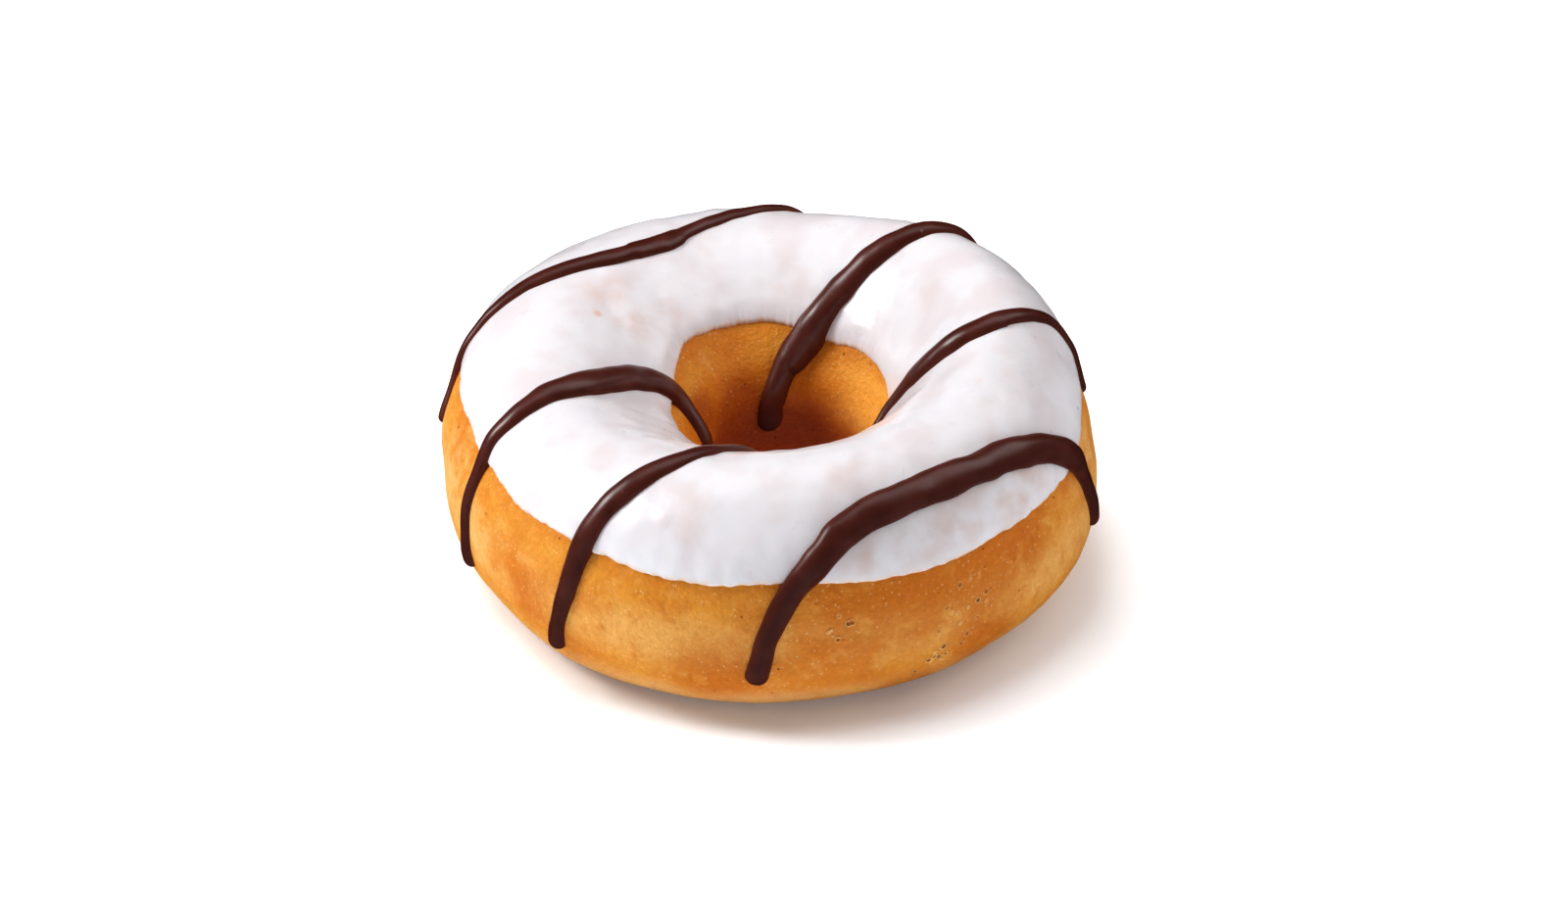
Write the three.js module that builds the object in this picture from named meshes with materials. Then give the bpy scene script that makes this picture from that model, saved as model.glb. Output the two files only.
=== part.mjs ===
// Iced ring doughnut: a fried dough ring, a white icing cap and six chocolate lines.
// Millimetres, +Z up, resting on z = 0, the hole's axis upright.
import * as THREE from "three";
import { ParametricGeometry } from "three/addons/geometries/ParametricGeometry.js";

// ---- driving dimensions ----
const OUTER_RADIUS = 45.4;        // middle of the ring to its waist, on average
const RING_HEIGHT = 34.5;         // table to the dough's crest, on average
const HOLE_RADIUS = 11.5;         // the hole at its narrowest
const ICING_THICKNESS = 0.9;
const LINE_WIDTH = 1.0;           // scale of every chocolate line's width
const LINE_RISE = 0.42;           // height of a chocolate line, as a share of its width

// ---- fits ----
const SEAT_GAP = 0.3;             // icing over dough, and chocolate over whatever it lies on
const CLIMB = 1.8;                // how far outside the icing a line starts to climb over its edge

// ---- the ring's section ----
const RING_WIDTH = OUTER_RADIUS - HOLE_RADIUS;
const WAIST_HEIGHT = 0.397 * RING_HEIGHT;
const THROAT_HEIGHT = 0.472 * RING_HEIGHT;
const CREST_RADIUS = HOLE_RADIUS + 0.57 * RING_WIDTH;
const BASE_INNER = HOLE_RADIUS + 0.28 * RING_WIDTH;
const BASE_OUTER = HOLE_RADIUS + 0.63 * RING_WIDTH;
const FLAT_SHARE = 0.25;          // share of the section's last quarter that lies flat
const HOLE_DRIFT = [4.3, -1.4];   // the hole's middle from the ring's middle

// How far each quarter of the section leans from an ellipse towards a straight line
const LEAN = { topOut: 0.06, topIn: 0.34, lowIn: 0, lowOut: -0.06 };

// Slow waves round the ring: [waves per turn, cosine part, sine part]
const RADIUS_WAVES = [[2, 0.2, -2.2], [3, 1.2, -0.1]];
const HEIGHT_WAVES = [[1, 3.3, -0.3], [2, 0.7, -0.25], [3, 0.35, 0.65]];

// ---- the icing's two edges ----
// A way over the section is 0 at the waist, 1 on the crest, 2 in the throat.
const EDGE_OUT = {
  over: 0.433,
  waves: [[1, 0.012, 0.109], [2, -0.027, 0.067], [3, -0.011, -0.02], [4, 0.011, 0.008], [9, 0.008, -0.006]],
};
const EDGE_IN = { over: 1.665, waves: [[1, 0.068, -0.121], [3, -0.019, 0.009], [7, 0.006, 0.006]] };
const EDGE_ROUND = 0.12;          // share of the icing's width that each rounded edge takes

// ---- chocolate lines: [degrees round, way over, width] ----
const LINES = {
  chocolate_line_rear_left: [
    [172, 0.1, 1.8], [167.5, 0.27, 1.7], [163.5, 0.43, 1.8], [159, 0.55, 2.1], [153, 0.68, 2.7],
    [141, 0.885, 3.1], [132, 0.98, 3], [120.5, 1.02, 3], [108.5, 0.975, 2.4], [98, 0.9, 2.1],
    [89, 0.8, 1.9], [82, 0.65, 1.9], [78, 0.43, 1.9], [76, 0.2, 2]],
  chocolate_line_left: [
    [202, -0.15, 2.5], [203, 0.07, 2.1], [202, 0.34, 2.2], [200, 0.74, 3], [198.5, 0.93, 3.8],
    [196.5, 1.11, 4.2], [191, 1.27, 4.3], [182, 1.4, 4.3], [173.5, 1.54, 3.6], [169.5, 1.66, 2.8],
    [174.5, 1.77, 2.4], [181, 1.89, 2.5], [185, 1.99, 2.4]],
  chocolate_line_rear: [
    [83, 2.18, 3.9], [81.5, 1.99, 3.5], [77, 1.83, 3.4], [72, 1.72, 3.7], [65.5, 1.62, 4.1],
    [61, 1.52, 3.8], [57, 1.42, 3.8], [51.5, 1.25, 3.5], [46, 1.08, 3.2], [43, 0.93, 3],
    [41, 0.75, 2.9], [39.5, 0.5, 2.9], [39, 0.2, 3]],
  chocolate_line_front_left: [
    [231, -0.18, 2.5], [232, -0.06, 2.7], [234, 0.16, 2.9], [235.5, 0.38, 3.3], [238, 0.59, 3.3],
    [242.5, 0.8, 3.2], [250.5, 1.045, 2.6], [255, 1.19, 2.5], [259.5, 1.33, 2.5], [264, 1.46, 2.5],
    [268, 1.6, 2.4], [270, 1.72, 2.4]],
  chocolate_line_right: [
    [329, 1.76, 2], [337, 1.73, 2], [344, 1.66, 2.1], [347.5, 1.55, 2.5], [349, 1.37, 3.8],
    [352, 1.17, 3.8], [357, 0.945, 2.8], [360.5, 0.8, 2.2], [363, 0.66, 1.9], [362.5, 0.5, 1.8],
    [361, 0.32, 1.8]],
  chocolate_line_front_right: [
    [270.5, -0.16, 3.1], [272, 0.08, 3.1], [275.5, 0.3, 3.6], [280.5, 0.44, 4.1], [286, 0.56, 4.4],
    [293, 0.63, 4.4], [309.5, 0.65, 4.5], [319, 0.625, 4.4], [328.5, 0.555, 4.1], [336, 0.42, 3.8],
    [342, 0.225, 2.9], [345, 0.03, 2.7], [345.5, -0.05, 2.8]],
};

// A quarter of the section is about as long as this many degrees of the ring, which evens a route.
const MARK_DEGREES = 32;
const MARK_TURN = MARK_DEGREES * Math.PI / 180;

// ---- facets ----
const ROUND_STEPS = 72;
const SECTION_STEPS = 32;
const ICING_STEPS = 22;
const LINE_STEPS = 30;
const LINE_SIDES = 10;

const COLOURS = { dough: 0xd0832f, icing: 0xf0ecee, chocolate: 0x52302a };

/** Sum of slow waves at one place round the ring. */
function waves(list, turn) {
  return list.reduce((sum, [n, c, s]) => sum + c * Math.cos(n * turn) + s * Math.sin(n * turn), 0);
}

/** A quarter of the section as two parts, from 1, 0 to 0, 1: an ellipse leaning towards a line. */
function quarterCurve(part, lean) {
  const cos = Math.cos(part * Math.PI / 2);
  const sin = Math.sin(part * Math.PI / 2);
  return [(1 - lean) * cos + lean * cos * cos, (1 - lean) * sin + lean * sin * sin];
}

/** Radius and height of the ring's section at one turn, for a way over from 0 to 4. */
function section(turn, over) {
  const wayOver = ((over % 4) + 4) % 4;
  const quarter = Math.floor(wayOver);
  const part = wayOver - quarter;
  const drift = HOLE_DRIFT[0] * Math.cos(turn) + HOLE_DRIFT[1] * Math.sin(turn);
  const waist = OUTER_RADIUS + waves(RADIUS_WAVES, turn);
  const top = RING_HEIGHT + waves(HEIGHT_WAVES, turn);
  const throat = HOLE_RADIUS + drift;
  const crest = CREST_RADIUS + drift / 2;
  if (quarter === 0) {
    const [out, up] = quarterCurve(part, LEAN.topOut);
    return [crest + (waist - crest) * out, WAIST_HEIGHT + (top - WAIST_HEIGHT) * up];
  }
  if (quarter === 1) {
    const [up, inward] = quarterCurve(part, LEAN.topIn);
    return [crest - (crest - throat) * inward, THROAT_HEIGHT + (top - THROAT_HEIGHT) * up];
  }
  if (quarter === 2) {
    const [inward, down] = quarterCurve(part, LEAN.lowIn);
    return [BASE_INNER - (BASE_INNER - throat) * inward, THROAT_HEIGHT * (1 - down)];
  }
  if (part < FLAT_SHARE) {
    return [BASE_INNER + (BASE_OUTER - BASE_INNER) * part / FLAT_SHARE, 0];
  }
  const [down, out] = quarterCurve((part - FLAT_SHARE) / (1 - FLAT_SHARE), LEAN.lowOut);
  return [BASE_OUTER + (waist - BASE_OUTER) * out, WAIST_HEIGHT * (1 - down)];
}

/** A point of the dough's skin. */
function skin(turn, over) {
  const [r, z] = section(turn, over);
  return new THREE.Vector3(r * Math.cos(turn), r * Math.sin(turn), z);
}

/** The skin's two tangents and its outward normal. */
function skinFrame(turn, over) {
  const step = 0.004;
  const round = skin(turn + step, over).sub(skin(turn - step, over)).divideScalar(2 * step);
  const across = skin(turn, over + step).sub(skin(turn, over - step)).divideScalar(2 * step);
  const normal = new THREE.Vector3().crossVectors(round, across).normalize();
  return { round, across, normal };
}

/** A point held off the dough's skin by a lift. */
function lifted(turn, over, lift) {
  return skin(turn, over).addScaledVector(skinFrame(turn, over).normal, lift);
}

/** Where the icing's two edges lie at one turn, as ways over the section. */
function icingEdges(turn) {
  return [EDGE_OUT, EDGE_IN].map((edge) => edge.over + waves(edge.waves, turn));
}

/** How high a chocolate line's underside lies off the skin: a step up where the icing is. */
function seatLift(turn, over) {
  const [outer, inner] = icingEdges(turn);
  const reach = CLIMB / skinFrame(turn, over).across.length();
  const near = Math.min(over - outer, inner - over);
  return SEAT_GAP + (ICING_THICKNESS + SEAT_GAP) * THREE.MathUtils.smoothstep(near, -reach, 0);
}

function doughRing() {
  return new ParametricGeometry((u, v, target) => {
    target.copy(skin(u * 2 * Math.PI, v * 4));
  }, ROUND_STEPS, SECTION_STEPS);
}

/** The icing's section is a loop: out over its rounded top, back along its underside. */
function icingCap() {
  return new ParametricGeometry((u, v, target) => {
    const turn = u * 2 * Math.PI;
    const [outer, inner] = icingEdges(turn);
    const onTop = v <= 0.5;
    const share = onTop ? (1 - Math.cos(v * 2 * Math.PI)) / 2 : 2 - 2 * v;
    const near = Math.min(1, Math.min(share, 1 - share) / EDGE_ROUND);
    const rise = onTop ? ICING_THICKNESS * Math.sqrt(near * (2 - near)) : 0;
    target.copy(lifted(turn, outer + (inner - outer) * share, SEAT_GAP + rise));
  }, ROUND_STEPS, ICING_STEPS);
}

/** Length of a route over the skin. */
function routeLength(route, samples = 60) {
  let length = 0;
  let before = null;
  for (let i = 0; i <= samples; i += 1) {
    const at = route.getPoint(i / samples);
    const here = skin(at.x * MARK_TURN, at.y);
    length += before ? here.distanceTo(before) : 0;
    before = here;
  }
  return length;
}

/** A chocolate line: a domed section swept along its route, with round ends. */
function chocolateLine(points) {
  const marks = points.map(([round, over, width]) => new THREE.Vector3(round / MARK_DEGREES, over, width));
  const route = new THREE.CatmullRomCurve3(marks, false, "centripetal");
  const length = routeLength(route);
  return new ParametricGeometry((u, v, target) => {
    const along = (1 - Math.cos(u * Math.PI)) / 2;
    const at = route.getPoint(along);
    const turn = at.x * MARK_TURN;
    const half = LINE_WIDTH * at.z / 2;
    const fromEnd = Math.min(1, Math.min(along, 1 - along) * length / half);
    const size = Math.sqrt(fromEnd * (2 - fromEnd));

    // the section's place across the line, and its height
    const angle = v * 2 * Math.PI;
    const aside = half * size * Math.cos(angle);
    const rise = 2 * half * LINE_RISE * size * Math.max(0, Math.sin(angle));

    // walk sideways over the skin, square to the route
    const { round, across, normal } = skinFrame(turn, at.y);
    const ahead = route.getTangent(along);
    const forward = round.clone().multiplyScalar(ahead.x * MARK_TURN);
    forward.addScaledVector(across, ahead.y);
    const side = new THREE.Vector3().crossVectors(forward, normal).normalize();
    const a = round.dot(round);
    const b = round.dot(across);
    const c = across.dot(across);
    const p = round.dot(side) * aside;
    const q = across.dot(side) * aside;
    const det = a * c - b * b;
    const sideTurn = turn + (c * p - b * q) / det;
    const sideOver = at.y + (a * q - b * p) / det;
    target.copy(lifted(sideTurn, sideOver, seatLift(sideTurn, sideOver) + rise));
  }, LINE_STEPS, LINE_SIDES);
}

/** A named mesh with its own material. */
function piece(name, geometry, colour, roughness) {
  const material = new THREE.MeshStandardMaterial({ color: colour, roughness, metalness: 0 });
  const mesh = new THREE.Mesh(geometry, material);
  mesh.name = name;
  return mesh;
}

const doughnut = new THREE.Group();
doughnut.name = "iced_ring_doughnut";
doughnut.add(piece("dough_ring", doughRing(), COLOURS.dough, 0.55));
doughnut.add(piece("white_icing", icingCap(), COLOURS.icing, 0.3));
for (const [name, points] of Object.entries(LINES)) {
  doughnut.add(piece(name, chocolateLine(points), COLOURS.chocolate, 0.35));
}

// The middle of the whole box stands over the origin.
const middle = new THREE.Box3().setFromObject(doughnut).getCenter(new THREE.Vector3());
for (const mesh of doughnut.children) {
  mesh.geometry.translate(-middle.x, -middle.y, 0);
}

export default doughnut;
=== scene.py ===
import math

import bpy
import numpy as np
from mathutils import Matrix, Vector


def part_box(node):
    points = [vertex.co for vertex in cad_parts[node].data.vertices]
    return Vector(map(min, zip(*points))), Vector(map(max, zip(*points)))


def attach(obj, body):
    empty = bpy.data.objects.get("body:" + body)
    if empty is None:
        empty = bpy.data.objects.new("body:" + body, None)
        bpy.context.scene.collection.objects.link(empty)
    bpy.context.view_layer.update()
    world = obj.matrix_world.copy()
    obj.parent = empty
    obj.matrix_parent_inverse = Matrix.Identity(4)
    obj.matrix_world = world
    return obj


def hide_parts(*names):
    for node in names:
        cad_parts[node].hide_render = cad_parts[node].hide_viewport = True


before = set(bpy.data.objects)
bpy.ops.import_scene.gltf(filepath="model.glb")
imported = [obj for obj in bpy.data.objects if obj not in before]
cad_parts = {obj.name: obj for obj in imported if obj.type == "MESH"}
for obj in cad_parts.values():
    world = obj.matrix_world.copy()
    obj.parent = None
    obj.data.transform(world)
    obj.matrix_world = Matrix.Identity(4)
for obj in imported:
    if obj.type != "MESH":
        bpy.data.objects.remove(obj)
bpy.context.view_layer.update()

# Iced ring doughnut. Shapes are worked out in millimetres about the ring's own middle, then
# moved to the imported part's frame and turned into metres as each mesh is made.
MM = 0.001

# ---- the ring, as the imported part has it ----
OUTER_RADIUS = 45.4
RING_HEIGHT = 34.5
HOLE_RADIUS = 11.5
RING_WIDTH = OUTER_RADIUS - HOLE_RADIUS
WAIST_HEIGHT = 0.397 * RING_HEIGHT
THROAT_HEIGHT = 0.472 * RING_HEIGHT
CREST_RADIUS = HOLE_RADIUS + 0.57 * RING_WIDTH
BASE_INNER = HOLE_RADIUS + 0.28 * RING_WIDTH
BASE_OUTER = HOLE_RADIUS + 0.63 * RING_WIDTH
FLAT_SHARE = 0.25
HOLE_DRIFT = (4.3, -1.4)
LEAN = {"top_out": 0.06, "top_in": 0.34, "low_in": 0.0, "low_out": -0.06}

# Slow waves round the ring: waves per turn, cosine part, sine part
RADIUS_WAVES = [(2, 0.2, -2.2), (3, 1.2, -0.1)]
HEIGHT_WAVES = [(1, 3.3, -0.3), (2, 0.7, -0.25), (3, 0.35, 0.65)]

# ---- the icing ----
# A way over the section is 0 at the waist, 1 on the crest, 2 in the throat.
OUTER_EDGE = 0.433
OUTER_EDGE_WAVES = [
    (1, 0.012, 0.109), (2, -0.027, 0.067), (3, -0.011, -0.02), (4, 0.011, 0.008), (9, 0.008, -0.006)]
INNER_EDGE = 1.665
INNER_EDGE_WAVES = [(1, 0.068, -0.121), (3, -0.019, 0.009), (7, 0.006, 0.006)]
ICING_LIFT = 1.1                  # icing's top over the dough
ICING_LIP = 0.4                   # the part of that which its crisp edge rises by
LIP_ROUND = 0.45                  # how far in from the edge the crisp rise is over
EDGE_ROUND = 3.6                  # how far in from the edge the icing reaches its full height
ICING_DEPTH = 0.4                 # how far the icing's underside is sunk into the dough

# Soft folds in the icing near the hole: degrees round, way over, mm they slant aside per quarter
CREASES = [(233, 1.3, 9.0), (244, 1.3, -7.0), (206, 1.5, 8.0), (256, 1.22, -9.0)]
CREASE_DEPTH = 0.16
CREASE_WIDTH = 1.1                # mm aside
CREASE_LENGTH = 0.17              # as a way over the section
CREASE_RADIUS = 26                # mm from the ring's middle to the folds

# ---- the chocolate lines: degrees round, way over, width ----
LINE_RISE = 0.37                  # a line's height over its width
LINE_GAP = 0.05                   # what lifts a line's side off the skin
LINE_DEPTH = 0.5                  # how far a line's underside is sunk into what it lies on
LINE_ROWS, LINE_SIDES = 320, 40
CLIMB = (-3.8, 3.4)               # where a line's top climbs onto the icing, in mm inside its edge
SUNK_CLIMB = (-0.6, 0.9)          # where its underside does
MARK_TURN = math.radians(32)      # a quarter of the section is about as long as this much turn
LINES = {
    "rear_left": [
        (172, 0.1, 1.8), (167.5, 0.27, 1.7), (163.5, 0.43, 1.8), (159, 0.55, 2.1), (153, 0.68, 2.7),
        (141, 0.885, 3.1), (132, 0.98, 3), (120.5, 1.02, 3), (108.5, 0.975, 2.4), (98, 0.9, 2.1),
        (89, 0.8, 1.9), (82, 0.65, 1.9), (78, 0.43, 1.9), (76, 0.2, 2)],
    "left": [
        (202.3, -0.19, 2.7), (203, 0.07, 2.1), (202, 0.34, 2.2), (200, 0.74, 3), (198.5, 0.93, 3.8),
        (196.5, 1.11, 4.2), (191, 1.27, 4.3), (182, 1.4, 4.3), (173.5, 1.54, 3.6), (169.5, 1.66, 2.8),
        (174.5, 1.77, 2.4), (181, 1.89, 2.5), (185, 1.99, 2.4)],
    "rear": [
        (83, 2.18, 3.9), (81.5, 1.99, 3.5), (77, 1.83, 3.4), (72, 1.72, 4.4), (65.5, 1.62, 5.0),
        (61, 1.52, 4.5), (57, 1.42, 4.1), (51.5, 1.25, 3.9), (46, 1.08, 3.2), (43, 0.93, 3),
        (41, 0.75, 2.9), (39.5, 0.5, 2.9), (39, 0.2, 3)],
    "front_left": [
        (231, -0.22, 2.7), (232, -0.06, 2.7), (234, 0.16, 2.9), (235.5, 0.38, 3.3), (238, 0.59, 3.3),
        (242.5, 0.8, 3.2), (250.5, 1.045, 2.6), (255, 1.19, 2.5), (259.5, 1.33, 2.5), (264, 1.46, 2.5),
        (268, 1.6, 2.4), (270, 1.72, 2.4)],
    "right": [
        (329, 1.76, 2), (337, 1.73, 2), (344, 1.66, 2.1), (347.5, 1.55, 2.5), (349, 1.37, 3.8),
        (352, 1.17, 3.8), (357, 0.945, 2.8), (360.5, 0.8, 2.2), (363, 0.66, 1.9), (362.5, 0.5, 1.8),
        (361, 0.32, 1.8)],
    "front_right": [
        (269.4, -0.16, 3.3), (271.3, 0.08, 3.2), (275.5, 0.3, 3.6), (280.5, 0.44, 4.1), (286, 0.56, 4.4),
        (293, 0.63, 4.4), (309.5, 0.65, 4.5), (319, 0.625, 4.4), (328.5, 0.555, 4.1), (336, 0.42, 3.8),
        (342, 0.225, 2.9), (345, 0.03, 2.7), (345.5, -0.05, 2.8)],
}


# ---- formulas ----

def waves(terms, turn):
    """Sum of slow cosine and sine waves round the ring."""
    return sum(c * np.cos(n * turn) + s * np.sin(n * turn) for n, c, s in terms)


def soft_step(value, low, high):
    """0 below low, 1 above high, 3t^2 - 2t^3 between."""
    t = np.clip((value - low) / (high - low), 0, 1)
    return t * t * (3 - 2 * t)


def bell(value, middle, width):
    """1 at the middle, falling as exp(-(distance / width)^2)."""
    return np.exp(-(((value - middle) / width) ** 2))


def ripples(points, size, seed, count=14):
    """Soft bumps of about one size in mm: the sum of plane waves in seeded directions, about -1 to 1."""
    chance = np.random.default_rng(seed)
    heading = chance.normal(size=(count, 3))
    heading /= np.linalg.norm(heading, axis=1, keepdims=True)
    heading *= chance.uniform(0.7, 1.4, (count, 1)) * 2 * math.pi / size
    phase = chance.uniform(0, 2 * math.pi, count)
    return np.sin(points @ heading.T + phase).sum(-1) / math.sqrt(count)


def quarter_curve(part, lean):
    """A quarter ellipse from (1, 0) to (0, 1), leaning by a share towards the straight line of squares."""
    cos = np.cos(part * math.pi / 2)
    sin = np.sin(part * math.pi / 2)
    return (1 - lean) * cos + lean * cos**2, (1 - lean) * sin + lean * sin**2


def skin(turn, over):
    """The dough's plain skin: quarter curves, waist to crest to throat to base to waist, turned round."""
    turn, over = np.broadcast_arrays(turn, over)
    way = np.mod(over, 4)
    quarter = np.minimum(way.astype(int), 3)
    part = way - quarter
    drift = HOLE_DRIFT[0] * np.cos(turn) + HOLE_DRIFT[1] * np.sin(turn)
    waist = OUTER_RADIUS + waves(RADIUS_WAVES, turn)
    top = RING_HEIGHT + waves(HEIGHT_WAVES, turn)
    throat = HOLE_RADIUS + drift
    crest = CREST_RADIUS + drift / 2
    out, up = quarter_curve(part, LEAN["top_out"])
    first = crest + (waist - crest) * out, WAIST_HEIGHT + (top - WAIST_HEIGHT) * up
    up, inward = quarter_curve(part, LEAN["top_in"])
    second = crest - (crest - throat) * inward, THROAT_HEIGHT + (top - THROAT_HEIGHT) * up
    inward, down = quarter_curve(part, LEAN["low_in"])
    third = BASE_INNER - (BASE_INNER - throat) * inward, THROAT_HEIGHT * (1 - down)
    flat = np.minimum(part / FLAT_SHARE, 1)
    low, out = quarter_curve(np.clip((part - FLAT_SHARE) / (1 - FLAT_SHARE), 0, 1), LEAN["low_out"])
    base = BASE_INNER + (BASE_OUTER - BASE_INNER) * flat
    fourth = base + (waist - BASE_OUTER) * out, WAIST_HEIGHT * (1 - low)
    radius = np.choose(quarter, [first[0], second[0], third[0], fourth[0]])
    height = np.choose(quarter, [first[1], second[1], third[1], fourth[1]])
    return np.stack([radius * np.cos(turn), radius * np.sin(turn), height], -1)


def skin_frame(turn, over, step=0.004):
    """The skin's tangents round and across, by small steps, and its outward normal."""
    around = (skin(turn + step, over) - skin(turn - step, over)) / (2 * step)
    across = (skin(turn, over + step) - skin(turn, over - step)) / (2 * step)
    normal = np.cross(around, across)
    return around, across, normal / np.linalg.norm(normal, axis=-1, keepdims=True)


def relief(turn, over):
    """The dough's unevenness: soft bumps of three sizes, fading out where it rests."""
    at = skin(turn, over)
    bumps = 0.16 * ripples(at, 26, 1) + 0.07 * ripples(at, 10, 2) + 0.025 * ripples(at, 4, 3) - 0.15
    return bumps * soft_step(at[..., 2], 0, 5)


def inside_icing(turn, over):
    """How far a place lies inside the icing's nearer edge, in mm; below 0 it is bare dough."""
    way = np.where(np.mod(over, 4) > 2.9, np.mod(over, 4) - 4, np.mod(over, 4))
    rim = np.stack([40 * np.cos(turn), 40 * np.sin(turn), 0 * turn], -1)
    wobble = 0.16 * ripples(rim, 8, 11) + 0.06 * ripples(rim, 2.8, 12) + 0.07 * ripples(rim, 1.5, 13)
    length = np.linalg.norm(skin_frame(turn, over)[1], axis=-1)
    outer = (way - OUTER_EDGE - waves(OUTER_EDGE_WAVES, turn)) * length + wobble
    inner = (INNER_EDGE + waves(INNER_EDGE_WAVES, turn) - way) * length + 0.6 * wobble
    return np.minimum(outer, inner)


def lifted(turn, over, lift):
    """A place on the uneven dough, held off it along the plain skin's normal."""
    return skin(turn, over) + skin_frame(turn, over)[2] * (relief(turn, over) + lift)[..., None]


# ---- meshes ----

def ring_shift():
    """The ring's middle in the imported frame, in mm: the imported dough's box less the same facets' box here."""
    turn, over = np.meshgrid(np.arange(72) * 2 * math.pi / 72, np.arange(32) * 4 / 32, indexing="ij")
    plain = skin(turn, over).reshape(-1, 3)
    low, high = (np.array(corner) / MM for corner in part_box("dough_ring"))
    return (low + high) / 2 - (plain.min(0) + plain.max(0)) / 2


SHIFT = ring_shift()


def make_mesh(name, points, quads, triangles, attributes):
    """A smooth mesh object from arrays of places in mm, corners of faces, and named values per place."""
    mesh = bpy.data.meshes.new(name)
    corners = np.concatenate([quads.ravel(), triangles.ravel()]).astype(np.int32)
    sides = np.concatenate([np.full(len(quads), 4), np.full(len(triangles), 3)]).astype(np.int32)
    mesh.vertices.add(len(points))
    mesh.vertices.foreach_set("co", ((points + SHIFT) * MM).astype(np.float32).ravel())
    mesh.loops.add(len(corners))
    mesh.loops.foreach_set("vertex_index", corners)
    mesh.polygons.add(len(sides))
    mesh.polygons.foreach_set("loop_start", np.concatenate([[0], np.cumsum(sides)[:-1]]).astype(np.int32))
    mesh.polygons.foreach_set("use_smooth", np.ones(len(sides), bool))
    for key, values in attributes.items():
        named = mesh.attributes.new(key, "FLOAT", "POINT")
        named.data.foreach_set("value", values.astype(np.float32).ravel())
    mesh.update(calc_edges=True)
    mesh.validate()
    thing = bpy.data.objects.new(name, mesh)
    bpy.context.scene.collection.objects.link(thing)
    return thing


def hoop(name, points, **attributes):
    """A grid of places closed both ways, such as a ring."""
    rows, columns = points.shape[:2]
    number = np.arange(rows * columns).reshape(rows, columns)
    ahead = np.roll(number, -1, 0)
    quads = np.stack([number, ahead, np.roll(ahead, -1, 1), np.roll(number, -1, 1)], -1).reshape(-1, 4)
    return make_mesh(name, points.reshape(-1, 3), quads, np.empty((0, 3), int), attributes)


def strand(name, points, **attributes):
    """A grid of places closed the second way, with its first and last rows drawn in to one place each."""
    rows, columns = points.shape[:2]
    number = 1 + np.arange((rows - 2) * columns).reshape(rows - 2, columns)
    last = number[-1, -1] + 1
    side = np.roll(number, -1, 1)
    quads = np.stack([number[:-1], number[1:], side[1:], side[:-1]], -1).reshape(-1, 4)
    head = np.stack([np.zeros(columns, int), number[0], side[0]], -1)
    tail = np.stack([np.full(columns, last), side[-1], number[-1]], -1)
    flat = np.concatenate([points[:1].mean(1), points[1:-1].reshape(-1, 3), points[-1:].mean(1)])
    values = {
        key: np.concatenate([v[:1].mean(1), v[1:-1].ravel(), v[-1:].mean(1)])
        for key, v in attributes.items()}
    return make_mesh(name, flat, quads, np.concatenate([head, tail]), values)


def dough_ring():
    """The whole uneven skin; bare is mm out from the icing's edge, deep is 1 low in the hole."""
    turn, over = np.meshgrid(
        np.arange(440) * 2 * math.pi / 440, np.arange(220) * 4 / 220, indexing="ij")
    bare = -np.clip(inside_icing(turn, over), -15, 3)
    way = np.mod(over, 4)
    # deep marks the low part of the hole's wall, which the finish darkens with painted shade
    deep = soft_step(way, 1.6, 2.35) * (1 - soft_step(way, 2.9, 3.4))
    return hoop("fried_dough_ring", lifted(turn, over, 0 * turn), bare=bare, deep=deep)


def icing_cap():
    """From edge to edge over the top, with a crisp quarter-round lip and a slower rise, then back beneath.

    Its lift is lip * sqrt(a (2 - a)) + rest * b (2 - b), with a and b the way in from the edge, up to 1.
    """
    turns, top_steps, under_steps = 800, 96, 20
    turn = np.arange(turns) * 2 * math.pi / turns
    outer = OUTER_EDGE + waves(OUTER_EDGE_WAVES, turn)
    inner = INNER_EDGE + waves(INNER_EDGE_WAVES, turn)
    # walk each edge to where the wobble puts it
    for _ in range(4):
        outer = outer - inside_icing(turn, outer) / np.linalg.norm(skin_frame(turn, outer)[1], axis=-1)
        inner = inner + inside_icing(turn, inner) / np.linalg.norm(skin_frame(turn, inner)[1], axis=-1)
    over_top = (1 - np.cos(np.linspace(0, math.pi, top_steps))) / 2
    back = np.linspace(1, 0, under_steps)
    share = np.concatenate([over_top, back])
    on_top = np.concatenate([np.ones(top_steps), np.zeros(under_steps)])
    turn = np.repeat(turn[:, None], len(share), 1)
    over = outer[:, None] + (inner - outer)[:, None] * share
    inside = np.maximum(inside_icing(turn, over), 0)
    lip = np.minimum(inside / LIP_ROUND, 1)
    near = np.minimum(inside / EDGE_ROUND, 1)
    at = skin(turn, over)
    uneven = 0.05 * ripples(at, 9, 21) + 0.02 * ripples(at, 4, 22)
    full = ICING_LIP * np.sqrt(lip * (2 - lip)) + (ICING_LIFT - ICING_LIP + uneven) * near * (2 - near)
    for crease_turn, crease_over, slant in CREASES:
        aside = (turn - math.radians(crease_turn)) * CREASE_RADIUS - (over - crease_over) * slant
        full = full - CREASE_DEPTH * bell(aside, 0, CREASE_WIDTH) * bell(over, crease_over, CREASE_LENGTH)
    lift = full * on_top - ICING_DEPTH * (1 - on_top)
    return hoop("white_icing_cap", lifted(turn, over, lift), inside=inside)


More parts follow.
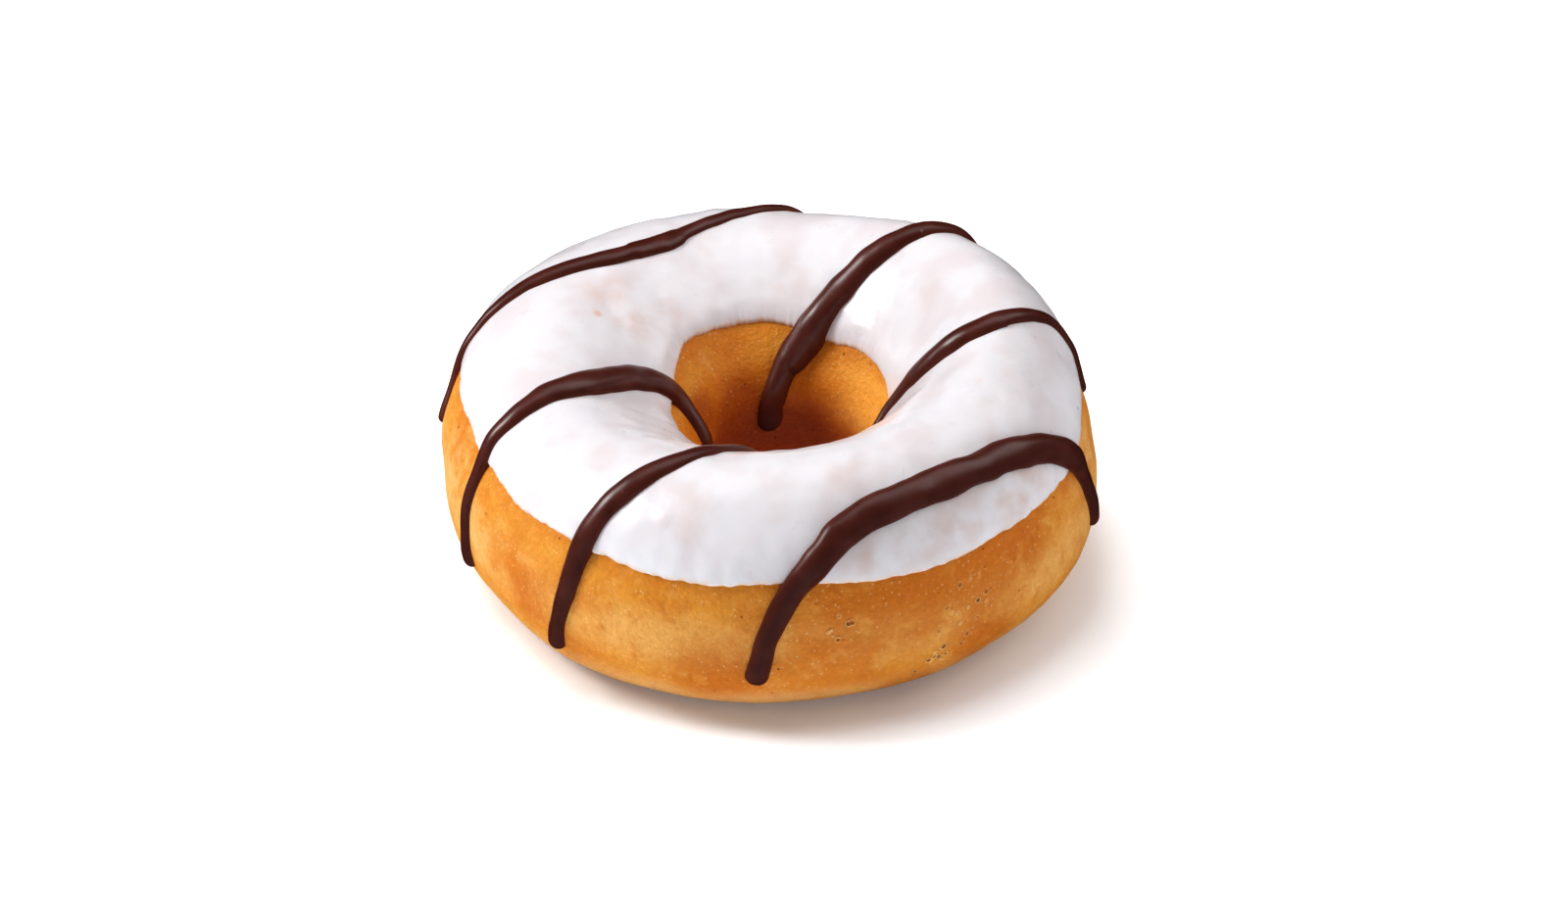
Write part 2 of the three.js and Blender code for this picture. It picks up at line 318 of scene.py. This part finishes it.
def smooth_route(marks, count):
    """A centripetal Catmull-Rom curve through the marks, at places that crowd towards its two ends."""
    marks = np.vstack([2 * marks[0] - marks[1], marks, 2 * marks[-1] - marks[-2]])
    along = (1 - np.cos(np.linspace(0, math.pi, count))) / 2 * (len(marks) - 3)
    step = np.minimum(along.astype(int), len(marks) - 4)
    t = (along - step)[:, None]
    before, start, end, after = (marks[step + k] for k in range(4))

    def gap(a, b):
        return np.sqrt(np.linalg.norm(b - a, axis=1, keepdims=True))

    g0, g1, g2 = gap(before, start), gap(start, end), gap(end, after)
    leave = ((start - before) / g0 - (end - before) / (g0 + g1) + (end - start) / g1) * g1
    reach = ((end - start) / g1 - (after - start) / (g1 + g2) + (after - end) / g2) * g1
    return (
        start + leave * t + (3 * (end - start) - 2 * leave - reach) * t**2
        + (2 * (start - end) + leave + reach) * t**3)


def chocolate_line(name, marks, seed):
    """A domed section carried along its route, its two sides wavering apart, with round ends.

    At an angle t round it, the section is at |cos t|^0.92 aside and |sin t|^1.15 up.
    """
    marks = np.array(marks, float) * (math.radians(1) / MARK_TURN, 1, 1)
    route = smooth_route(marks, LINE_ROWS)
    turn, over, width = route[:, 0] * MARK_TURN, route[:, 1], route[:, 2]
    around, across, normal = skin_frame(turn, over)
    ahead = np.gradient(route, axis=0)
    forward = around * ahead[:, :1] * MARK_TURN + across * ahead[:, 1:2]
    side = np.cross(forward, normal)
    side /= np.linalg.norm(side, axis=1, keepdims=True)
    at = skin(turn, over)
    travel = np.concatenate([[0], np.cumsum(np.linalg.norm(np.diff(at, axis=0), axis=1))])
    from_end = np.minimum(np.minimum(travel, travel[-1] - travel) / (width / 2), 1)
    size = np.sqrt(from_end * (2 - from_end))

    # the section: a full dome over a sunk flat underside
    angle = np.linspace(0, 2 * math.pi, LINE_SIDES, endpoint=False)
    cos, sin = np.cos(angle), np.sin(angle)
    aside = np.sign(cos) * np.abs(cos) ** 0.92
    rise = np.where(sin > 0, np.abs(sin) ** 1.15, 0)
    wander = [
        1 + 0.065 * ripples(at, 8, seed + k) + 0.03 * ripples(at, 3.6, seed + 2 + k) for k in range(2)]
    half = width[:, None] / 2 * np.where(aside > 0, wander[0][:, None], wander[1][:, None])
    reach = half * size[:, None] * aside
    fullness = 1 + 0.06 * ripples(at, 7, seed + 5)
    dome = LINE_RISE * (width * size * fullness)[:, None] * rise

    # a walk sideways over the skin, square to the route
    a = (around * around).sum(1)
    b = (around * across).sum(1)
    c = (across * across).sum(1)
    p = (around * side).sum(1)
    q = (across * side).sum(1)
    area = a * c - b * b
    side_turn = turn[:, None] + reach * ((c * p - b * q) / area)[:, None]
    side_over = over[:, None] + reach * ((a * q - b * p) / area)[:, None]
    inside = inside_icing(side_turn, side_over)
    seat = LINE_GAP + ICING_LIFT * soft_step(inside, *CLIMB)
    under = ICING_LIFT * soft_step(inside, *SUNK_CLIMB) - LINE_DEPTH
    points = lifted(side_turn, side_over, np.where(sin < -1e-6, under, seat + dome))
    return strand("chocolate_" + name, points, up=rise + 0 * reach)


# ---- shader arithmetic ----

class Term:
    """One value of a shader. Arithmetic on it adds the Math nodes."""

    def __init__(self, finish, socket):
        self.finish = finish
        self.socket = socket

    def math(self, operation, *others):
        return self.finish.node("ShaderNodeMath", {"operation": operation}, dict(enumerate((self, *others))))

    def __add__(self, other):
        return self.math("ADD", other)

    def __mul__(self, other):
        return self.math("MULTIPLY", other)

    def __sub__(self, other):
        return self.math("SUBTRACT", other)

    def __rsub__(self, other):
        return self * -1 + other

    __radd__ = __add__
    __rmul__ = __mul__

    def between(self, low, high):
        """0 below low, 1 above high, softly between."""
        return self.finish.node(
            "ShaderNodeMapRange", {"interpolation_type": "SMOOTHSTEP"},
            {"Value": self, "From Min": low, "From Max": high})


class Finish:
    """One material: a principled shader, the object's own coordinates, and ways to add other nodes."""

    def __init__(self, name, **constants):
        self.material = bpy.data.materials.new(name)
        self.material.use_nodes = True
        self.tree = self.material.node_tree
        self.shader = self.tree.nodes["Principled BSDF"]
        for key, value in constants.items():
            self.shader.inputs[key.replace("_", " ")].default_value = value
        self.place = self.node("ShaderNodeTexCoord", output="Object")

    def node(self, kind, settings=None, inputs=None, output=0):
        made = self.tree.nodes.new(kind)
        for key, value in (settings or {}).items():
            setattr(made, key, value)
        for key, value in (inputs or {}).items():
            self.feed(made.inputs[key], value)
        return Term(self, made.outputs[output])

    def feed(self, socket, value):
        if isinstance(value, Term):
            self.tree.links.new(value.socket, socket)
        elif isinstance(value, tuple) and socket.type == "RGBA":
            socket.default_value = (*value, 1)
        else:
            socket.default_value = value

    def moved(self, shift):
        """The object's coordinates moved by the same amount along all three axes."""
        return self.node("ShaderNodeVectorMath", {"operation": "ADD"}, {0: self.place, 1: (shift,) * 3})

    def noise(self, size, detail=2.0, rough=0.5, shift=0.0):
        """Cloudy noise from 0 to 1, its lumps about size mm across."""
        inputs = {"Vector": self.moved(shift), "Scale": 1 / (size * MM), "Detail": detail, "Roughness": rough}
        return self.node("ShaderNodeTexNoise", None, inputs)

    def cells(self, size, shift=0.0, output="Distance"):
        """Distance to the nearest of scattered points, about size mm apart, in units of that size."""
        return self.node(
            "ShaderNodeTexVoronoi", None, {"Vector": self.moved(shift), "Scale": 1 / (size * MM)}, output)

    def attribute(self, name):
        return self.node("ShaderNodeAttribute", {"attribute_name": name}, output="Fac")

    def height(self):
        """Height above the table, in mm."""
        return self.node("ShaderNodeSeparateXYZ", None, {0: self.place}, "Z") * (1 / MM)

    def mix(self, share, first, second, kind="MIX"):
        """One colour over another, by a share."""
        made = self.tree.nodes.new("ShaderNodeMix")
        made.data_type = "RGBA"
        made.blend_type = kind
        for socket, value in ((made.inputs[0], share), (made.inputs[6], first), (made.inputs[7], second)):
            self.feed(socket, value)
        return Term(self, made.outputs[2])

    def near(self, turn, over, radius):
        """1 at a place on the skin, in degrees round and way over, falling softly to 0 at the radius."""
        centre = tuple((skin(math.radians(turn), over) + SHIFT) * MM)
        away = self.node(
            "ShaderNodeVectorMath", {"operation": "DISTANCE"}, {0: self.place, 1: centre}, "Value")
        return 1 - away.between(radius * MM * 0.25, radius * MM)

    def near_any(self, places):
        """The sum of near over places, each with its own strength if it gives one."""
        total = 0
        for turn, over, radius, *strength in places:
            here = self.near(turn, over, radius)
            for share in strength:
                here = here * share
            total = here + total
        return total

    def bump(self, height, depth, under=None):
        """A bump from a height of 0 to 1, standing for that depth in mm."""
        inputs = {"Height": height, "Distance": depth * MM, "Strength": 1.0}
        if under:
            inputs["Normal"] = under
        return self.node("ShaderNodeBump", None, inputs, "Normal")

    def wear(self, **outputs):
        """Feeds the shader and gives back the material."""
        for key, value in outputs.items():
            self.feed(self.shader.inputs[key.replace("_", " ")], value)
        return self.material


# ---- finishes ----

# Places on the crust: degrees round, way over, size in mm
# Deeper orange patches on the front right: partly the crust's own colour, partly painted shade on the side away
# from the light
RIPE_AND_SHADED_PLACES = [
    (290, 0.2, 15), (305, 0.26, 14), (318, 0.26, 12), (262, -0.12, 10), (225, 0.0, 7), (312, -0.15, 9),
    (298, -0.38, 8)]
WAN_PLACES = [(192, 0.2, 11), (205, 0.1, 7), (345, 0.3, 9), (268, -0.42, 8), (250, -0.4, 6)]
BLISTERED_PLACES = [(308, 0.1, 5.0), (304, -0.08, 4.5), (300, -0.22, 3.5), (284, 0.12, 3.2)]
# Painted light and painted shade: the hole's wall is coloured lighter where light falls on one side and darker
# where shade falls on the other
PAINTED_LIGHT_PLACE = (18, 1.78, 12)
PAINTED_SHADE_PLACES = [(104, 1.92, 6), (118, 2.05, 6), (84, 2.15, 7), (158, 1.8, 5), (60, 2.2, 6)]

# Crust colours
GOLDEN = (0.78, 0.33, 0.036)
PALE = (0.86, 0.47, 0.13)
WAN = (0.86, 0.50, 0.19)
TAN = (0.84, 0.47, 0.18)
ORANGE = (0.68, 0.205, 0.010)
RIPE_AND_SHADED = (0.62, 0.165, 0.002)
BROWNED = (0.45, 0.14, 0.016)
# Painted shade inside the hole: its wall deeper orange, darker still low down
HOLE_WALL_SHADE = (0.66, 0.20, 0.003)
HOLE_PAINTED_LIGHT = (1.0, 0.47, 0.075)
HOLE_DEEP_SHADE = (0.42, 0.075, 0.0)
HOLE_PAINTED_SHADE = (0.33, 0.05, 0.0)
# Colour of the painted glint highlights
GLINT = (1.0, 0.70, 0.33)
PIT = (0.24, 0.06, 0.008)
BLISTER_RIM = (1.0, 0.60, 0.22)
BLISTER_MOUTH = (0.36, 0.085, 0.006)
WAIST = 15.0                      # mm above the table
BLISTER_SIZE, BLISTER_SHIFT = 1.25, 0.21


def dough_finish():
    """Fried crust: golden, paler at the waist, mottled orange, browned low down, with pits and blisters; with
    painted light and painted shade on the hole's wall, painted shade on the front right, and painted glint
    highlights.
    """
    f = Finish(
        "fried_dough", Subsurface_Weight=0.12, Subsurface_Radius=(1.0, 0.3, 0.06), Subsurface_Scale=0.0018,
        Specular_IOR_Level=0.22)
    z = f.height()
    patches = f.noise(12, 2, 0.55)
    mottle = f.noise(3.0, 3, 0.6, shift=0.31)
    grain = f.noise(0.7, 3, 0.65, shift=0.17)
    fine = f.noise(0.35, 2, 0.6, shift=0.57)
    bare = f.attribute("bare")
    deep = f.attribute("deep")

    colour = f.mix(patches.between(0.42, 0.68) * 0.75, GOLDEN, ORANGE)
    # Deeper orange on the front right: partly the crust's own colour, partly painted shade
    ripe_and_shaded = f.near_any(RIPE_AND_SHADED_PLACES).math("MINIMUM", 1)
    colour = f.mix(ripe_and_shaded * mottle.between(0.15, 0.5) * 0.85, colour, RIPE_AND_SHADED)
    band = 1 - (z - WAIST).math("ABSOLUTE").between(1.0, 6.0)
    waist = (1 - ripe_and_shaded * 0.7) * band * patches.between(0.72, 0.42)
    colour = f.mix(waist * 0.7, colour, PALE)
    colour = f.mix(mottle.between(0.5, 0.68) * 0.4, colour, ORANGE)
    colour = f.mix(mottle.between(0.46, 0.3) * (1 - ripe_and_shaded * 0.6) * 0.35, colour, PALE)
    colour = f.mix((1 - bare.between(0.2, 3.0)) * 0.4, colour, ORANGE)
    lip = z.between(0.6, 2.2) * (1 - z.between(4.5, 8.5)) * (1 - ripe_and_shaded * 0.7)
    colour = f.mix(lip * (mottle.between(0.3, 0.6) * 0.5 + 0.25), colour, TAN)
    colour = f.mix((1 - z.between(0.2, 2.4)) * 0.75, colour, BROWNED)

    # Painted light and painted shade on the hole's wall: a lighter patch where light falls, darker patches where
    # shade falls
    painted_light = f.near(*PAINTED_LIGHT_PLACE)
    painted_shade = f.near_any(PAINTED_SHADE_PLACES).math("MINIMUM", 1)
    # Painted shade inside the hole: the wall deeper orange and darker towards its bottom
    in_hole = deep.between(0.0, 0.12)
    colour = f.mix(in_hole * (1 - painted_light) * 0.8, colour, HOLE_WALL_SHADE)
    colour = f.mix(in_hole * painted_light * 0.85, colour, HOLE_PAINTED_LIGHT)
    colour = f.mix(deep * (1 - painted_light * 0.7), colour, HOLE_DEEP_SHADE)
    colour = f.mix(painted_shade * 0.65, colour, HOLE_PAINTED_SHADE)
    colour = f.mix(f.near_any(WAN_PLACES) * mottle.between(0.65, 0.35) * 0.55, colour, WAN)

    shade = f.node("ShaderNodeCombineColor", None, {
        0: 0.84 + grain * 0.34, 1: 0.71 + grain * 0.6, 2: 0.48 + grain * 1.08})
    colour = f.mix(1.0, colour, shade, "MULTIPLY")
    # Painted highlights: bright glint specks, more on the painted light patch, none where the hole is painted in
    # shade
    dots = 1 - f.cells(0.85, 0.07).between(0.08, 0.28)
    glints = dots * fine.between(0.42, 0.58) * (1 - deep) * (1 + painted_light)
    colour = f.mix(glints.math("MINIMUM", 1.3) * 0.5, colour, GLINT)
    pits = (1 - f.cells(2.4, 0.53).between(0.03, 0.09)) * mottle.between(0.42, 0.6)
    colour = f.mix(pits * 0.7, colour, PIT)

    blister = f.cells(BLISTER_SIZE, BLISTER_SHIFT)
    chosen = f.cells(BLISTER_SIZE, BLISTER_SHIFT, "Color").between(0.42, 0.5)
    blistered = f.near_any(BLISTERED_PLACES).math("MINIMUM", 1) * chosen
    ring = blistered * (1 - (blister - 0.36).math("ABSOLUTE").between(0.04, 0.16))
    colour = f.mix(ring * 0.6, colour, BLISTER_RIM)
    burst = blistered * (1 - blister.between(0.14, 0.26))
    colour = f.mix(burst * 0.85, colour, BLISTER_MOUTH)

    rough = 0.5 + (grain - 0.5) * 0.5 - glints * 0.25
    normal = f.bump(grain, 0.19)
    normal = f.bump(fine, 0.08, normal)
    normal = f.bump(mottle, 0.4, normal)
    normal = f.bump(1 - pits + ring * 1.2 - burst * 1.5, 0.22, normal)
    return f.wear(Base_Color=colour, Roughness=rough, Normal=normal)


# Where the icing is thin and the crust shows through: degrees round, way over, size in mm, strength
THIN_PLACES = [
    (146, 1.13, 5.0, 0.8), (152, 1.32, 4.5, 0.9), (135, 1.38, 5.0, 0.7), (180, 0.98, 3.5, 0.35),
    (110, 1.0, 6.0, 0.25), (80, 1.33, 5.0, 0.3), (342, 0.78, 6.0, 0.35), (329, 0.78, 5.0, 0.3),
    (289, 0.9, 5.0, 0.45), (256, 0.66, 5.5, 0.4), (274, 0.58, 5.0, 0.35), (321, 0.47, 9.0, 1.0),
    (292, 0.45, 8.0, 0.8), (306, 0.46, 8.0, 0.7), (22, 1.3, 4.0, 0.3),
]
SPOTS = [
    (157, 1.16, 1.3, 1.0), (139, 1.27, 1.1, 0.7), (5, 1.35, 0.9, 0.7), (321, 0.9, 0.7, 0.8),
    (333, 0.98, 1.2, 0.5)]

# Icing colours
WHITE = (0.89, 0.87, 0.90)
GREYER = (0.82, 0.76, 0.785)
SHOWING_THROUGH = (0.72, 0.54, 0.48)
SPOT = (0.80, 0.36, 0.14)
EDGE = (0.83, 0.53, 0.30)
PINHOLE = (0.5, 0.36, 0.3)


def icing_finish():
    """Set sugar icing: white, a little see-through, with thin tan places, spots, pinholes and soft gloss."""
    f = Finish(
        "white_icing", Subsurface_Weight=0.25, Subsurface_Radius=(1.0, 0.7, 0.6), Subsurface_Scale=0.0016,
        Specular_IOR_Level=0.45, Coat_Roughness=0.12, Coat_IOR=1.45)
    cloud = f.noise(7, 2, 0.5, shift=0.4)
    streak = f.noise(3.4, 2, 0.5, shift=0.8)
    fine = f.noise(0.8, 2, 0.5, shift=0.2)
    inside = f.attribute("inside")
    colour = f.mix(cloud.between(0.42, 0.66) * 0.6, WHITE, GREYER)
    thin = f.near_any(THIN_PLACES)
    broken = (streak * 0.5 + cloud * 0.5).between(0.34, 0.68)
    colour = f.mix((thin * 0.7 + 0.1) * broken, colour, SHOWING_THROUGH)
    colour = f.mix(f.near_any(SPOTS) * streak.between(0.3, 0.5), colour, SPOT)
    colour = f.mix((1 - inside.between(0.0, 0.9)) * fine.between(0.3, 0.6) * 0.6, colour, EDGE)
    holes = 1 - f.cells(11, 0.61).between(0.008, 0.018)
    colour = f.mix(holes * 0.25, colour, PINHOLE)
    rough = 0.3 + (streak - 0.5) * 0.14
    normal = f.bump(fine, 0.014)
    normal = f.bump(streak, 0.1, normal)
    normal = f.bump(1 - holes, 0.08, normal)
    return f.wear(Base_Color=colour, Roughness=rough, Normal=normal, Coat_Weight=0.25)


# Chocolate colours
DARK = (0.084, 0.0135, 0.007)
MILKIER = (0.11, 0.022, 0.014)
THIN_SIDE = (0.16, 0.034, 0.010)
SPECK = (0.33, 0.14, 0.09)


def chocolate_finish():
    """Set chocolate: dark red-brown, redder at its thin sides, satin on top, with grain and pale specks."""
    f = Finish("chocolate", Specular_IOR_Level=0.2, Coat_Roughness=0.32, Coat_IOR=1.5)
    cloud = f.noise(4, 2, 0.5, shift=0.15)
    grain = f.noise(0.35, 2, 0.6, shift=0.45)
    up = f.attribute("up")
    colour = f.mix(cloud.between(0.35, 0.7), DARK, MILKIER)
    colour = f.mix((1 - up.between(0.0, 0.35)) * 0.6, colour, THIN_SIDE)
    specks = (1 - f.cells(1.7, 0.33).between(0.04, 0.09)) * cloud.between(0.45, 0.6)
    colour = f.mix(specks * 0.4, colour, SPECK)
    rough = 0.62 - up.between(0.0, 0.7) * 0.27 + (grain - 0.5) * 0.16
    normal = f.bump(grain, 0.02)
    normal = f.bump(cloud, 0.12, normal)
    gloss = up.between(0.35, 0.95) * 0.7
    return f.wear(Base_Color=colour, Roughness=rough, Normal=normal, Coat_Weight=gloss)


def place_piece(piece, material, node):
    """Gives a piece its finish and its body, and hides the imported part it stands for."""
    piece.data.materials.append(material)
    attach(piece, "root")
    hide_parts(node)


chocolate = chocolate_finish()
place_piece(dough_ring(), dough_finish(), "dough_ring")
place_piece(icing_cap(), icing_finish(), "white_icing")
for number, (line, marks) in enumerate(LINES.items()):
    place_piece(
        chocolate_line(line, marks, 100 + 10 * number), chocolate, "chocolate_line_" + line)


# ---- floor, light and camera ----

def floor():
    """A wide plain sheet just under the doughnut. It glows a little, and glossy surfaces don't mirror it."""
    half = 6.0                    # m
    drop = -0.00005               # m under the doughnut, so that the two never share a plane
    corners = [(-half, -half, drop), (half, -half, drop), (half, half, drop), (-half, half, drop)]
    mesh = bpy.data.meshes.new("floor")
    mesh.from_pydata(corners, [], [(0, 1, 2, 3)])
    sheet = bpy.data.objects.new("floor", mesh)
    bpy.context.scene.collection.objects.link(sheet)
    f = Finish("floor", Roughness=0.9, Specular_IOR_Level=0.1, Emission_Strength=0.15)
    tone = f.mix(f.noise(400), (0.77, 0.80, 0.83), (0.79, 0.82, 0.85))
    mesh.materials.append(f.wear(Base_Color=tone, Emission_Color=(1.0, 1.0, 1.0)))
    sheet.visible_glossy = False
    return sheet


def soft_light(name, direction, distance, size, power, colour=(1, 1, 1)):
    """A square light, aimed at the doughnut from a direction."""
    data = bpy.data.lights.new(name, "AREA")
    data.size = size
    data.energy = power
    data.color = colour
    lamp = bpy.data.objects.new(name, data)
    bpy.context.scene.collection.objects.link(lamp)
    away = Vector(direction).normalized()
    lamp.location = Vector((0, 0, 0.02)) + away * distance
    lamp.rotation_mode = "QUATERNION"
    lamp.rotation_quaternion = away.to_track_quat("Z", "Y")
    return lamp


def surroundings(strength):
    """Even white light from all round, which glossy surfaces don't mirror."""
    world = bpy.data.worlds.new("studio")
    world.use_nodes = True
    sky = world.node_tree.nodes["Background"]
    sky.inputs["Color"].default_value = (1, 1, 1, 1)
    sky.inputs["Strength"].default_value = strength
    world.cycles_visibility.glossy = False
    bpy.context.scene.world = world


def camera():
    """Looks along +Y and down at the doughnut."""
    tilt = math.radians(35.3)
    distance = 970.0              # mm from the point it looks at
    frame_width = 1600 / 7.345    # mm that the frame spans at that point
    aside, below = 3.39, 1.18     # mm that the view is moved right and down to frame the doughnut
    back = np.array([0, -math.cos(tilt), math.sin(tilt)])
    up = np.array([0, math.sin(tilt), math.cos(tilt)])
    aim = np.array([0, 0, 17.0]) + SHIFT + aside * np.array([1, 0, 0]) - below * up
    data = bpy.data.cameras.new("camera")
    data.sensor_width = 36
    data.lens = distance * data.sensor_width / frame_width
    data.clip_start, data.clip_end = 0.05, 50
    eye = bpy.data.objects.new("camera", data)
    bpy.context.scene.collection.objects.link(eye)
    eye.location = Vector((aim + back * distance) * MM)
    eye.rotation_mode = "QUATERNION"
    eye.rotation_quaternion = Vector(back).to_track_quat("Z", "Y")
    bpy.context.scene.camera = eye


sheet = floor()
surroundings(0.22)
soft_light("key", (-0.76, 0.06, 0.62), 0.9, 0.3, 6.3)
soft_light("over", (0.05, 0.2, 1.0), 1.1, 0.9, 3.6)
soft_light("fill", (0.75, 0.1, 0.8), 1.2, 0.8, 4.6, (1.0, 0.93, 0.92))
# This lamp lights only the floor, which keeps the doughnut's shadow there small and soft
backdrop = soft_light("backdrop", (-0.28, 0.1, 1.0), 0.9, 0.6, 8.5)
lit = bpy.data.collections.new("lit_by_backdrop")
lit.objects.link(sheet)
backdrop.light_linking.receiver_collection = lit
camera()
bpy.context.scene.view_settings.view_transform = "Standard"
bpy.context.scene.view_settings.gamma = 0.88
